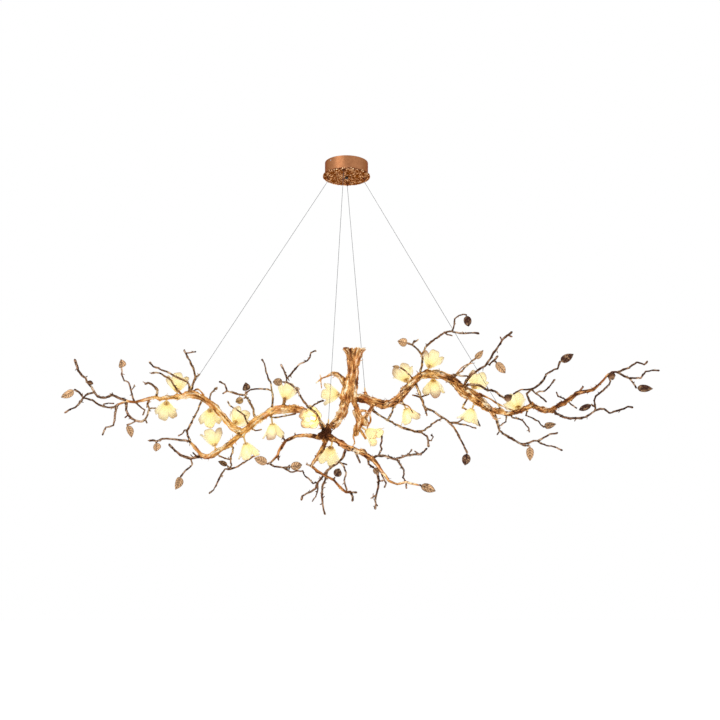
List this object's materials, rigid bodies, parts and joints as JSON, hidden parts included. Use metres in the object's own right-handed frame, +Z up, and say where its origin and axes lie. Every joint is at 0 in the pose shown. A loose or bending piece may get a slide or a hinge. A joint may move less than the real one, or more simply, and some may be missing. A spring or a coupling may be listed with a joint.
{
  "type": "branch chandelier",
  "caption": "Cast copper branch hung from a round ceiling canopy on thin steel cables, with twigs, leaves and lit glass flowers.",
  "frame": {"origin": "centre of the canopy's top face, on the ceiling", "axes": "+Z up into the ceiling, +X along the branch to the viewer's right, -Y towards the viewer"},
  "size_m": [1.9714, 0.419, 1.2055],
  "materials": {
    "canopy": "satin copper",
    "steel": "brushed",
    "cable_steel": "satin",
    "brass": "satin",
    "driver_shell": "matte",
    "terminal": "gloss",
    "bush": "matte",
    "bark_copper": "cast bark",
    "twig_copper": "dark patina",
    "leaf_copper": "patina",
    "amber_glass": "clear amber",
    "lamp_glass": "frosted"
  },
  "bodies": {
    "chandelier": {"ceiling_bracket": "steel", "canopy_cup": "canopy", "canopy_plate": "canopy", "canopy_screws": "steel", "lamp_driver": "driver_shell", "terminal_block": "terminal", "cord_bushes": "bush", "gripper_barrels": "brass", "gripper_nuts": "brass", "spring_left": "steel", "spring_right": "steel", "spring_front": "steel", "spring_back": "steel", "cable_left": "cable_steel", "cable_right": "cable_steel", "cable_front": "cable_steel", "cable_back": "cable_steel", "cable_ferrules": "cable_steel", "trunk": "bark_copper", "bough_left": "bark_copper", "bough_left_low": "bark_copper", "bough_right": "bark_copper", "bough_right_outer": "bark_copper", "bough_front": "bark_copper", "twigs_far_left": "twig_copper", "twigs_left_top": "twig_copper", "twigs_left_low": "twig_copper", "twigs_front_left": "twig_copper", "twigs_front_right": "twig_copper", "twigs_front_low": "twig_copper", "twigs_right_top": "twig_copper", "twigs_right_low": "twig_copper", "twigs_far_right": "twig_copper", "leaves_left": "leaf_copper", "leaves_right": "leaf_copper", "lamp_holders": "brass", "capsule_lamps": "lamp_glass", "glass_flower_01": "amber_glass", "glass_flower_02": "amber_glass", "glass_flower_03": "amber_glass", "glass_flower_04": "amber_glass", "glass_flower_05": "amber_glass", "glass_flower_06": "amber_glass", "glass_flower_07": "amber_glass", "glass_flower_08": "amber_glass", "glass_flower_09": "amber_glass", "glass_flower_10": "amber_glass", "glass_flower_11": "amber_glass", "glass_flower_12": "amber_glass", "glass_flower_13": "amber_glass", "glass_flower_14": "amber_glass", "glass_flower_15": "amber_glass", "glass_flower_16": "amber_glass", "glass_flower_17": "amber_glass", "glass_flower_18": "amber_glass", "glass_flower_19": "amber_glass"},
    "release_left": {"plunger_left": "steel"},
    "release_right": {"plunger_right": "steel"},
    "release_front": {"plunger_front": "steel"},
    "release_back": {"plunger_back": "steel"}
  },
  "joints": [
    {"name": "release_left_push", "type": "slide", "parent": "chandelier", "child": "release_left", "axis": [0, 0, 1], "range_m": [0, 0.002], "stiffness_N_per_m": 900, "springref_m": -0.002, "deforming": ["spring_left"]},
    {"name": "release_right_push", "type": "slide", "parent": "chandelier", "child": "release_right", "axis": [0, 0, 1], "range_m": [0, 0.002], "stiffness_N_per_m": 900, "springref_m": -0.002, "deforming": ["spring_right"]},
    {"name": "release_front_push", "type": "slide", "parent": "chandelier", "child": "release_front", "axis": [0, 0, 1], "range_m": [0, 0.002], "stiffness_N_per_m": 900, "springref_m": -0.002, "deforming": ["spring_front"]},
    {"name": "release_back_push", "type": "slide", "parent": "chandelier", "child": "release_back", "axis": [0, 0, 1], "range_m": [0, 0.002], "stiffness_N_per_m": 900, "springref_m": -0.002, "deforming": ["spring_back"]}
  ]
}
